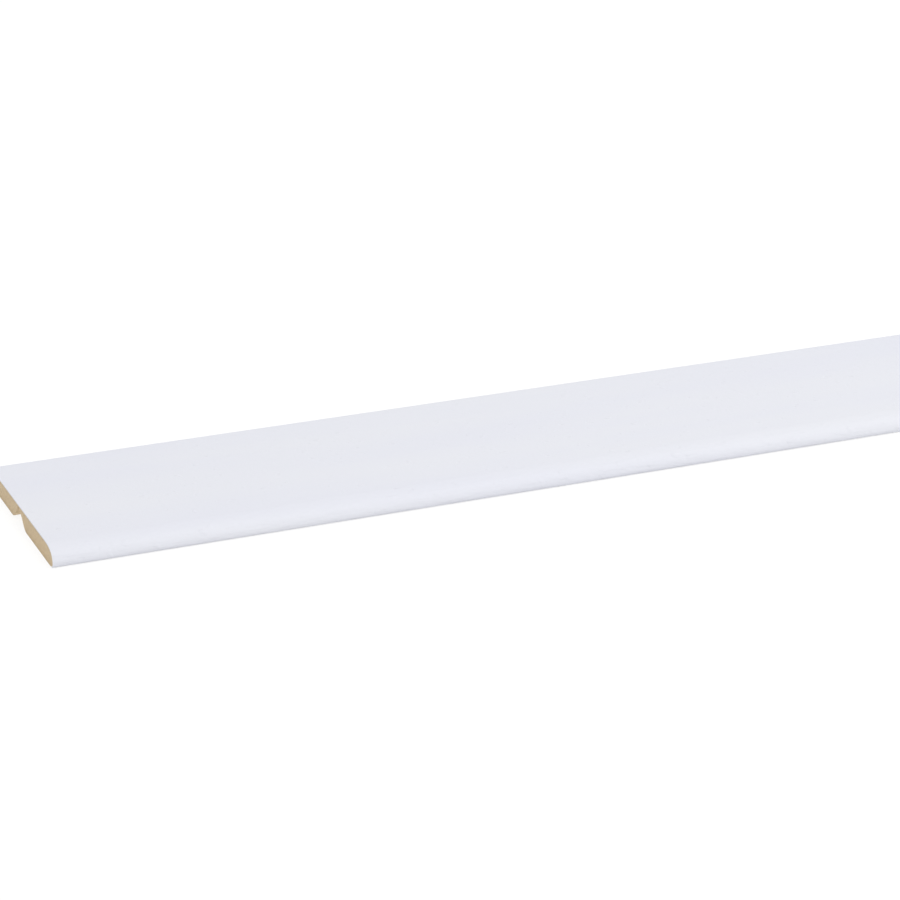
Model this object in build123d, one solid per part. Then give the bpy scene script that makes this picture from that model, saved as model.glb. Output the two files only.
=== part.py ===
from build123d import *
import os
from math import cos, radians, sin, tan

# Folding corner moulding, lying flat with its face up. A strip of fibreboard is wrapped in white foil,
# and a vee groove cut from the back as far as the foil leaves two legs that hinge on the foil alone.
# Folded down, the groove shuts and the legs wrap an outside corner. Folded up, they line an inside one.
#
# X runs along the moulding, Y across it and Z up. The origin lies on the back plane, under the middle
# of the fold line. Sections are drawn on the +Y side, as (Y, Z), and the front leg is their mirror image.

# Driving dimensions, in millimetres and degrees
LENGTH = 2600.0
FLAT_WIDTH = 60.0
THICKNESS = 5.0
FOIL_THICKNESS = 0.3
SHOULDER_RADIUS = 9.0  # gentle rounding that leads from the face to the nose of each long edge
SHOULDER_ANGLE = 25.0  # how far the shoulder turns before the nose takes over
ARRIS_RADIUS = 1.5  # small rounding of the long edges, at the back
EDGE_LAND = 0.2  # straight part of the long edges, between the nose and the arris
FOIL_WRAP_ANGLE = 75.0  # how far the foil goes round the arris before it is trimmed
GROOVE_ANGLE = 90.0  # between the groove's two walls
LIP_RADIUS = 3.0  # where the walls meet the back
FOLD_CLEARANCE = 0.35  # between the walls when the moulding is folded shut
CREASE_ANGLE = 80.0  # of the foil's tapered edge at the fold line, under 90 so that it folds either way

# Sizes that follow from them
half_width = FLAT_WIDTH / 2
core_top = THICKNESS - FOIL_THICKNESS
fold_height = THICKNESS - FOIL_THICKNESS / 2
shoulder_turn = radians(SHOULDER_ANGLE)
shoulder_drop = SHOULDER_RADIUS * (1 - cos(shoulder_turn))
nose_radius = (THICKNESS - shoulder_drop - EDGE_LAND - ARRIS_RADIUS) / cos(shoulder_turn)
nose_centre = Vector(half_width - nose_radius, ARRIS_RADIUS + EDGE_LAND)
between_centres = Vector(sin(shoulder_turn), cos(shoulder_turn)) * (SHOULDER_RADIUS - nose_radius)
shoulder_centre = nose_centre - between_centres
arris_centre = Vector(half_width - ARRIS_RADIUS, ARRIS_RADIUS)
crease_run = FOIL_THICKNESS / 2 / tan(radians(CREASE_ANGLE / 2))
wall_lean = radians(GROOVE_ANGLE / 2)
groove_flat = FOIL_THICKNESS * tan(wall_lean) + FOLD_CLEARANCE / cos(wall_lean)
groove_mouth = groove_flat + 2 * core_top * tan(wall_lean)


def skin_line(depth, start):
    """The face and one long edge, at a depth below the foil's outer side, from `start` across the face."""
    face = Line((start, THICKNESS - depth), (shoulder_centre.X, THICKNESS - depth))
    shoulder = CenterArc(shoulder_centre, SHOULDER_RADIUS - depth, 90, -SHOULDER_ANGLE)
    nose = CenterArc(nose_centre, nose_radius - depth, 90 - SHOULDER_ANGLE, SHOULDER_ANGLE - 90)
    edge = Line(nose @ 1, (half_width - depth, arris_centre.Y))
    arris = CenterArc(arris_centre, ARRIS_RADIUS - depth, 0, -FOIL_WRAP_ANGLE)
    return [face, shoulder, nose, edge, arris]


def foil_section():
    """The foil on one leg, from its tapered edge at the fold line to its trimmed edge at the back."""
    outer = skin_line(0, crease_run)
    inner = skin_line(FOIL_THICKNESS, crease_run)
    crease = Polyline(outer[0] @ 0, (0, fold_height), inner[0] @ 0)
    trimmed_edge = Line(outer[-1] @ 1, inner[-1] @ 1)
    return make_face([*outer, trimmed_edge, *inner, crease])


def core_section():
    """The fibreboard of one leg, under its foil, with the groove's wall, its rounded lip and a bevelled heel."""
    under_foil = skin_line(FOIL_THICKNESS, groove_flat / 2)
    foil_end = under_foil[-1] @ 1
    bevel = under_foil[-1] % 1
    heel = foil_end - bevel * (foil_end.Y / bevel.Y)
    lip = (groove_mouth / 2, 0)
    back = Polyline(foil_end, heel, lip, under_foil[0] @ 0)
    section = make_face([*under_foil, back])
    return fillet(section.vertices().sort_by_distance(lip)[0], LIP_RADIUS)


def stock(section):
    """A section run along the moulding's whole length, sawn square at both ends."""
    return extrude(Plane.YZ * section, amount=LENGTH / 2, both=True)


rear_leg = stock(core_section())
rear_foil = stock(foil_section())
pieces = {
    "rear_leg": rear_leg,
    "rear_foil": rear_foil,
    "front_leg": mirror(rear_leg, about=Plane.XZ),
    "front_foil": mirror(rear_foil, about=Plane.XZ),
}

os.makedirs("parts", exist_ok=True)
for name, piece in pieces.items():
    export_step(piece, f"parts/{name}.step")
print(f"fold axis at Z {fold_height:.3f}, groove {groove_mouth:.3f} wide, nose radius {nose_radius:.2f}")
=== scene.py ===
import math

import bmesh
import bpy
from mathutils import Matrix, Vector


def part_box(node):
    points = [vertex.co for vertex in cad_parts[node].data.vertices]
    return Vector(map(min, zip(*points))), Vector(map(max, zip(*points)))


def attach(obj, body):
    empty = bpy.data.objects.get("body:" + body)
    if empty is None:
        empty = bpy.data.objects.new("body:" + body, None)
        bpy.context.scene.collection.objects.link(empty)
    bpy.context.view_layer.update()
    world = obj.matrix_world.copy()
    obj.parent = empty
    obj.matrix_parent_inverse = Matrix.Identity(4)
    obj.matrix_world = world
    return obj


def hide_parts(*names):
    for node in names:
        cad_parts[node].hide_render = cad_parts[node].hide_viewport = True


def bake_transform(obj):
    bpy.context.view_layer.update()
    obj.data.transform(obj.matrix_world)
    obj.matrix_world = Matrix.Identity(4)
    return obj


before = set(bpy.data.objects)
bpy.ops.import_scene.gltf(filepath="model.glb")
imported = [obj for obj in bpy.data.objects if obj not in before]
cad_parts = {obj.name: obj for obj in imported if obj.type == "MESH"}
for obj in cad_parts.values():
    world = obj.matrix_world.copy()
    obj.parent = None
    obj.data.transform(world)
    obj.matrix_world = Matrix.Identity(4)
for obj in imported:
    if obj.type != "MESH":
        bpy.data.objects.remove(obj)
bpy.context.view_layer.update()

# Folding corner moulding, lying flat with its white face up: two fibreboard legs under one sheet of foil.
# Lengths are in metres. X runs along the moulding, Y across it and Z up.

MM = 0.001

# Sizes read from the frame
leg_low, leg_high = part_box("rear_leg")
_, foil_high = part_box("rear_foil")
HALF_LENGTH = foil_high.x
HALF_WIDTH = foil_high.y
THICKNESS = foil_high.z
FOIL = foil_high.z - leg_high.z
HALF_FLAT = leg_low.y  # of the bare foil at the groove's tip, on each side of the fold line

# Roundings of the long edges, over the foil: a gentle shoulder, the nose, and an arris at the back
SHOULDER_RADIUS = 9.0 * MM
SHOULDER_TURN = math.radians(25)
ARRIS_RADIUS = 1.5 * MM
WRAP_TURN = math.radians(75)  # of the foil round the arris, before it is trimmed
EDGE_LAND = 0.2 * MM  # straight part between the nose and the arris
NOSE_FOOT = ARRIS_RADIUS + EDGE_LAND
NOSE_TURN = math.pi / 2 - SHOULDER_TURN
SHOULDER_DROP = SHOULDER_RADIUS * (1 - math.cos(SHOULDER_TURN))
NOSE_RADIUS = (THICKNESS - SHOULDER_DROP - NOSE_FOOT) / math.cos(SHOULDER_TURN)
SHOULDER_START = HALF_WIDTH - NOSE_RADIUS - (SHOULDER_RADIUS - NOSE_RADIUS) * math.sin(SHOULDER_TURN)
SHOULDER_SEGMENTS = 8
NOSE_SEGMENTS = 14
ARRIS_SEGMENTS = 8

# The groove and the fold
GROOVE_LEAN = math.radians(45)
LIP_RADIUS = 3.0 * MM  # where the groove's walls meet the back
LIP_SEGMENTS = 6
FOLD_LOOPS = 8  # strips across the bare foil at the fold line
FOIL_LIP = 0.03 * MM  # straight end of the foil, past the arris

SHARP_ANGLE = math.radians(28)  # edges that turn more than this are shaded as corners
SAME_PLACE = 1e-7  # points closer than this are one point
NEARBY = 1e-6  # how far a point may lie from where it is looked for


# Shaping

def profile_sheet(bm, points):
    """A sheet as long as the moulding, over a section given as (Y, Z) points."""
    first_end = [bm.verts.new((-HALF_LENGTH, y, z)) for y, z in points]
    section = [bm.edges.new(pair) for pair in zip(first_end, first_end[1:])]
    run = bmesh.ops.extrude_edge_only(bm, edges=section)["geom"]
    far_end = [item for item in run if isinstance(item, bmesh.types.BMVert)]
    bmesh.ops.translate(bm, vec=(2 * HALF_LENGTH, 0, 0), verts=far_end)


def long_edges_at(bm, y, z):
    """The edges that run along the moulding through the section's point (Y, Z)."""
    return [edge for edge in bm.edges
            if all(math.hypot(vert.co.y - y, vert.co.z - z) < NEARBY for vert in edge.verts)]


def round_edges(bm, edges, offset, segments):
    """Round edges off, `offset` back from the corner on both of its faces."""
    bmesh.ops.bevel(bm, geom=edges, offset=offset, offset_type="OFFSET", affect="EDGES",
                    segments=segments, profile=0.5, material=-1, clamp_overlap=True)


def edge_corners(inset):
    """The corners that round off one long edge, from the face to the back.

    They lie at an inset below the foil's outer side. Each has its place (Y, Z), how far its rounding
    reaches from there, and the rounding's segments.
    """
    edge = HALF_WIDTH - inset
    shoulder = (SHOULDER_RADIUS - inset) * math.tan(SHOULDER_TURN / 2)
    nose = (NOSE_RADIUS - inset) * math.tan(NOSE_TURN / 2)
    arris = (ARRIS_RADIUS - inset) * math.tan(WRAP_TURN / 2)
    return [
        ((SHOULDER_START + shoulder, THICKNESS - inset), shoulder, SHOULDER_SEGMENTS),
        ((edge, NOSE_FOOT + nose), nose, NOSE_SEGMENTS),
        ((edge, ARRIS_RADIUS - arris), arris, ARRIS_SEGMENTS),
    ]


def round_long_edges(bm, corners):
    """Round a long edge off, at each of its corners."""
    for (y, z), reach, segments in corners:
        round_edges(bm, long_edges_at(bm, y, z), reach, segments)


def piece(name, bm, materials):
    """A finished object, smooth but for its corners."""
    bmesh.ops.remove_doubles(bm, verts=bm.verts, dist=SAME_PLACE)
    bmesh.ops.recalc_face_normals(bm, faces=bm.faces)
    for face in bm.faces:
        face.smooth = True
    for edge in bm.edges:
        edge.smooth = edge.is_manifold and edge.calc_face_angle(0) < SHARP_ANGLE
    mesh = bpy.data.meshes.new(name)
    bm.to_mesh(mesh)
    bm.free()
    for material in materials:
        mesh.materials.append(material)
    made = bpy.data.objects.new(name, mesh)
    bpy.context.scene.collection.objects.link(made)
    return made


def foil_sheet(material):
    """The white foil: one sheet over the face, round both noses and down to the back arrises."""
    corners = edge_corners(0)
    (edge, arris_height), arris_reach, _ = corners[-1]
    past_arris = arris_reach + FOIL_LIP
    trimmed = (edge - past_arris * math.sin(WRAP_TURN), arris_height - past_arris * math.cos(WRAP_TURN))
    bm = bmesh.new()
    profile_sheet(bm, [(0, THICKNESS), *[place for place, _, _ in corners], trimmed])
    round_long_edges(bm, corners)
    bmesh.ops.mirror(bm, geom=[*bm.verts, *bm.edges, *bm.faces], matrix=Matrix.Identity(4),
                     merge_dist=NEARBY, axis="Y")
    for step in range(FOLD_LOOPS + 1):
        across = HALF_FLAT * (2 * step / FOLD_LOOPS - 1)
        bmesh.ops.bisect_plane(bm, geom=[*bm.verts, *bm.edges, *bm.faces], dist=SAME_PLACE,
                               plane_co=(0, across, 0), plane_no=(0, 1, 0))
    bmesh.ops.remove_doubles(bm, verts=bm.verts, dist=SAME_PLACE)
    bmesh.ops.recalc_face_normals(bm, faces=bm.faces)
    if sum(face.normal.z * face.calc_area() for face in bm.faces) < 0:
        bmesh.ops.reverse_faces(bm, faces=bm.faces)
    bmesh.ops.solidify(bm, geom=[*bm.verts, *bm.edges, *bm.faces], thickness=FOIL)
    return piece("foil_wrap", bm, [material])


def leg_core(name, side, milled, sawn):
    """One leg's fibreboard, on the side +1 or -1, with the groove's wall, its rounded lip and sawn ends."""
    corners = edge_corners(FOIL)
    edge, arris_height = corners[-1][0]
    heel = (edge - arris_height * math.tan(WRAP_TURN), 0)
    lip = (HALF_FLAT + leg_high.z * math.tan(GROOVE_LEAN), 0)
    lip_reach = LIP_RADIUS * math.tan((math.pi / 2 - GROOVE_LEAN) / 2)
    groove_tip = (HALF_FLAT, leg_high.z)
    bm = bmesh.new()
    profile_sheet(bm, [groove_tip, *[place for place, _, _ in corners], heel, lip, groove_tip])
    bmesh.ops.remove_doubles(bm, verts=bm.verts, dist=SAME_PLACE)
    bmesh.ops.holes_fill(bm, edges=[rim for rim in bm.edges if rim.is_boundary])
    round_long_edges(bm, [*corners, (lip, lip_reach, LIP_SEGMENTS)])
    bmesh.ops.recalc_face_normals(bm, faces=bm.faces)
    for face in bm.faces:
        face.material_index = 1 if abs(face.normal.x) > 0.9 else 0
    bmesh.ops.scale(bm, vec=(1, side, 1), verts=bm.verts)
    return piece(name, bm, [milled, sawn])


# Finishes

FOIL_COOL = (0.757, 0.767, 0.832, 1)
FOIL_PLAIN = (0.775, 0.785, 0.832, 1)
FIBRE_DARK = (0.532, 0.40, 0.24, 1)
FIBRE_PALE = (0.741, 0.596, 0.389, 1)
FIBRE_CLUMP = (0.77, 0.614, 0.407, 1)
BOARD_SKIN = (0.508, 0.385, 0.2315, 1)


class Finish:
    """A material's nodes, with short calls to add and join them."""

    def __init__(self, name):
        self.material = bpy.data.materials.new(name)
        self.material.use_nodes = True
        self.tree = self.material.node_tree
        self.surface = self.tree.nodes["Principled BSDF"]
        self.place = self.tree.nodes.new("ShaderNodeTexCoord").outputs["Object"]

    def add(self, kind, settings=None, **inputs):
        node = self.tree.nodes.new(kind)
        for key, value in (settings or {}).items():
            setattr(node, key, value)
        for key, value in inputs.items():
            self.set(node, key.replace("_", " "), value)
        return node

    def set(self, node, socket, value):
        target = node.inputs[socket]
        if isinstance(value, bpy.types.NodeSocket):
            self.tree.links.new(value, target)
        else:
            target.default_value = value

    def noise(self, scale, detail=2.0, roughness=0.5):
        """Noise over Object coordinates, with its own scale along X, Y and Z, in cycles a metre."""
        stretched = self.add("ShaderNodeMapping", Vector=self.place, Scale=scale).outputs["Vector"]
        return self.add("ShaderNodeTexNoise", Vector=stretched, Scale=1.0, Detail=detail,
                        Roughness=roughness).outputs["Fac"]

    def ranged(self, value, low, high, new_low=0.0, new_high=1.0):
        node = self.add("ShaderNodeMapRange", Value=value, From_Min=low, From_Max=high,
                        To_Min=new_low, To_Max=new_high)
        return node.outputs["Result"]

    def math(self, operation, first, second):
        node = self.add("ShaderNodeMath", {"operation": operation})
        self.set(node, 0, first)
        self.set(node, 1, second)
        return node.outputs["Value"]

    def mixed(self, share, first, second):
        """Colour between two colours."""
        node = self.add("ShaderNodeMix", {"data_type": "RGBA"})
        for socket, value in ((0, share), (6, first), (7, second)):
            self.set(node, socket, value)
        return node.outputs[2]

    def either(self, share, first, second):
        """Shader between two shaders."""
        node = self.add("ShaderNodeMixShader")
        for socket, value in enumerate((share, first, second)):
            self.set(node, socket, value)
        return node.outputs["Shader"]

    def relief(self, height, depth, under=None):
        """Bump of a depth in metres, over an earlier one."""
        node = self.add("ShaderNodeBump", Height=height, Distance=depth, Strength=1.0)
        if under is not None:
            self.set(node, "Normal", under)
        return node.outputs["Normal"]


def white_foil():
    """Satin white foil with a cool tint, a few nibs and pits, and the board's fibres felt at the noses."""
    foil = Finish("white_foil")
    cloud = foil.ranged(foil.noise((9, 60, 60), detail=3), 0.3, 0.7)
    foil.set(foil.surface, "Base Color", foil.mixed(cloud, FOIL_COOL, FOIL_PLAIN))
    peel = foil.noise((1500, 1500, 1500), detail=1)
    foil.set(foil.surface, "Roughness", foil.ranged(peel, 0.3, 0.7, 0.60, 0.72))
    foil.set(foil.surface, "Specular IOR Level", 0.15)
    across = foil.add("ShaderNodeSeparateXYZ", Vector=foil.place).outputs["Y"]
    nose = foil.ranged(foil.math("ABSOLUTE", across, 0.0), SHOULDER_START, HALF_WIDTH, 0.08, 1.0)
    fibres = foil.math("MULTIPLY", foil.noise((110, 560, 560), detail=3, roughness=0.6), nose)
    flecks = foil.noise((300, 420, 420), detail=1)
    nibs = foil.ranged(foil.math("ADD", flecks, foil.math("MULTIPLY", nose, 0.06)), 0.70, 0.84)
    pits = foil.ranged(flecks, 0.30, 0.16)
    relief = foil.relief(peel, 0.012 * MM)
    relief = foil.relief(fibres, 0.36 * MM, relief)
    foil.set(foil.surface, "Normal", foil.relief(foil.math("SUBTRACT", nibs, pits), 0.1 * MM, relief))
    return foil.material


def fibreboard(name, fibre_scale, tool_scale, tool_depth):
    """Tan fibreboard, paler in the middle of its thickness, with the marks of the tool that cut it."""
    board = Finish(name)
    height = board.add("ShaderNodeSeparateXYZ", Vector=board.place).outputs["Z"]
    from_middle = board.math("ABSOLUTE", board.math("SUBTRACT", height, leg_high.z / 2), 0.0)
    skin = board.ranged(from_middle, 0.3 * leg_high.z, 0.5 * leg_high.z)
    fibres = board.ranged(board.noise(fibre_scale, detail=4, roughness=0.65), 0.32, 0.68)
    clumps = board.ranged(board.noise((500, 500, 900), detail=2), 0.35, 0.65)
    marks = board.noise(tool_scale, detail=2)
    tan = board.mixed(fibres, FIBRE_DARK, FIBRE_PALE)
    tan = board.mixed(board.math("MULTIPLY", clumps, 0.35), tan, FIBRE_CLUMP)
    tan = board.mixed(board.math("MULTIPLY", skin, 0.4), tan, BOARD_SKIN)
    board.set(board.surface, "Base Color", tan)
    board.set(board.surface, "Roughness", board.ranged(fibres, 0, 1, 0.78, 0.92))
    relief = board.relief(fibres, 0.06 * MM)
    board.set(board.surface, "Normal", board.relief(marks, tool_depth, relief))
    return board.material


# Pieces

foil_material = white_foil()
milled_board = fibreboard("milled_fibreboard", (160, 1500, 1500), (6, 3800, 3800), 0.04 * MM)
sawn_board = fibreboard("sawn_fibreboard", (1100, 1100, 3400), (3000, 2200, 60), 0.03 * MM)

foil_wrap = foil_sheet(foil_material)
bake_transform(foil_wrap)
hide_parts("rear_foil", "front_foil")

for body, side in (("rear", 1), ("front", -1)):
    core = leg_core(f"{body}_core", side, milled_board, sawn_board)
    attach(core, f"{body}_side")
    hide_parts(f"{body}_leg")


# Floor, light and camera

FLOOR_SIZE = 40.0
FLOOR_GAP = 0.05 * MM
SLOT_HALF_WIDTH = 28.0 * MM  # of the strip of floor that lets light through to the moulding's back
FLOOR_WHITE = 0.90  # share of the light on the floor that it throws back on the moulding
FLOOR_SHADE = 0.22  # how much of the light on the floor the camera sees
FLOOR_CLEAR = 0.83  # how much it sees through the floor, of the white beyond or a leg folded down past it
AMBIENT = 0.80
KEY_POWER = 25.0
KEY_PLACE = (0.15, -0.95, 1.9)
KEY_TARGET = (-0.3, 0, 0)
KEY_SIZE = (3.0, 1.4)


def grey(level):
    return (level, level, level, 1)


def seen_directly(tree):
    """1 for what is seen, also by reflection or through glass, and 0 for light on its way to a surface."""
    path = tree.nodes.new("ShaderNodeLightPath")
    seen = path.outputs["Is Camera Ray"]
    for kind in ("Is Glossy Ray", "Is Transmission Ray"):
        either = tree.nodes.new("ShaderNodeMath")
        either.operation = "MAXIMUM"
        tree.links.new(seen, either.inputs[0])
        tree.links.new(path.outputs[kind], either.inputs[1])
        seen = either.outputs["Value"]
    return seen


def pale_floor():
    """A pale floor that the camera sees as milky white, with the object's soft shadow.

    Light passes it under the moulding, so that the back is lit when it is seen from below.
    """
    floor = Finish("pale_floor")
    floor.tree.nodes.remove(floor.surface)
    opened = floor.add("ShaderNodeBsdfTransparent").outputs["BSDF"]
    plain = floor.add("ShaderNodeBsdfDiffuse", Color=grey(FLOOR_WHITE)).outputs["BSDF"]
    shade = floor.add("ShaderNodeBsdfDiffuse", Color=grey(FLOOR_SHADE)).outputs["BSDF"]
    clear = floor.add("ShaderNodeBsdfTransparent", Color=grey(FLOOR_CLEAR)).outputs["BSDF"]
    milky = floor.add("ShaderNodeAddShader")
    floor.set(milky, 0, shade)
    floor.set(milky, 1, clear)
    place = floor.add("ShaderNodeSeparateXYZ", Vector=floor.place).outputs
    along = floor.math("LESS_THAN", floor.math("ABSOLUTE", place["X"], 0.0), HALF_LENGTH)
    across = floor.math("LESS_THAN", floor.math("ABSOLUTE", place["Y"], 0.0), SLOT_HALF_WIDTH)
    for_light = floor.either(floor.math("MULTIPLY", along, across), plain, opened)
    surface = floor.either(seen_directly(floor.tree), for_light, milky.outputs["Shader"])
    floor.set(floor.tree.nodes["Material Output"], "Surface", surface)
    bm = bmesh.new()
    bmesh.ops.create_grid(bm, x_segments=1, y_segments=1, size=FLOOR_SIZE / 2)
    bmesh.ops.translate(bm, vec=(0, 0, -FLOOR_GAP), verts=bm.verts)
    piece("floor", bm, [floor.material])


def white_surroundings():
    """Even white light from all round, which the camera sees as white."""
    world = bpy.data.worlds.new("surroundings")
    world.use_nodes = True
    tree = world.node_tree
    background = tree.nodes["Background"]
    background.inputs["Color"].default_value = (1, 1, 1, 1)
    strength = tree.nodes.new("ShaderNodeMapRange")
    tree.links.new(seen_directly(tree), strength.inputs["Value"])
    strength.inputs["To Min"].default_value = AMBIENT
    strength.inputs["To Max"].default_value = 1.0
    tree.links.new(strength.outputs["Result"], background.inputs["Strength"])
    bpy.context.scene.world = world


def softbox(name, place, target, size, power):
    """A large soft lamp that the camera doesn't see."""
    lamp = bpy.data.lights.new(name, "AREA")
    lamp.shape = "RECTANGLE"
    lamp.size, lamp.size_y = size
    lamp.energy = power
    made = bpy.data.objects.new(name, lamp)
    made.location = place
    made.rotation_euler = (Vector(target) - Vector(place)).to_track_quat("-Z", "Y").to_euler()
    made.visible_camera = False
    bpy.context.scene.collection.objects.link(made)


# The photograph's viewpoint, measured from the cut end's foot under the fold line
VIEWPOINT = Vector((-0.1548, -0.6305, 0.2703))
TURN = math.radians(23.05)
DIP = math.radians(21.38)
ROLL = math.radians(0.10)
LENS = 114.6


def photo_camera():
    """The camera at the photograph's viewpoint, near the cut end."""
    lens = bpy.data.cameras.new("camera")
    lens.sensor_width = 36.0
    lens.lens = LENS
    lens.clip_start = 0.01
    camera = bpy.data.objects.new("camera", lens)
    place = Matrix.Translation(Vector((-HALF_LENGTH, 0, 0)) + VIEWPOINT)
    turn = Matrix.Rotation(-TURN, 4, "Z")
    tilt = Matrix.Rotation(math.pi / 2 - DIP, 4, "X")
    roll = Matrix.Rotation(ROLL, 4, "Z")
    camera.matrix_world = place @ turn @ tilt @ roll
    bpy.context.scene.collection.objects.link(camera)
    bpy.context.scene.camera = camera


pale_floor()
white_surroundings()
softbox("key", KEY_PLACE, KEY_TARGET, KEY_SIZE, KEY_POWER)
photo_camera()
bpy.context.scene.view_settings.view_transform = "Standard"
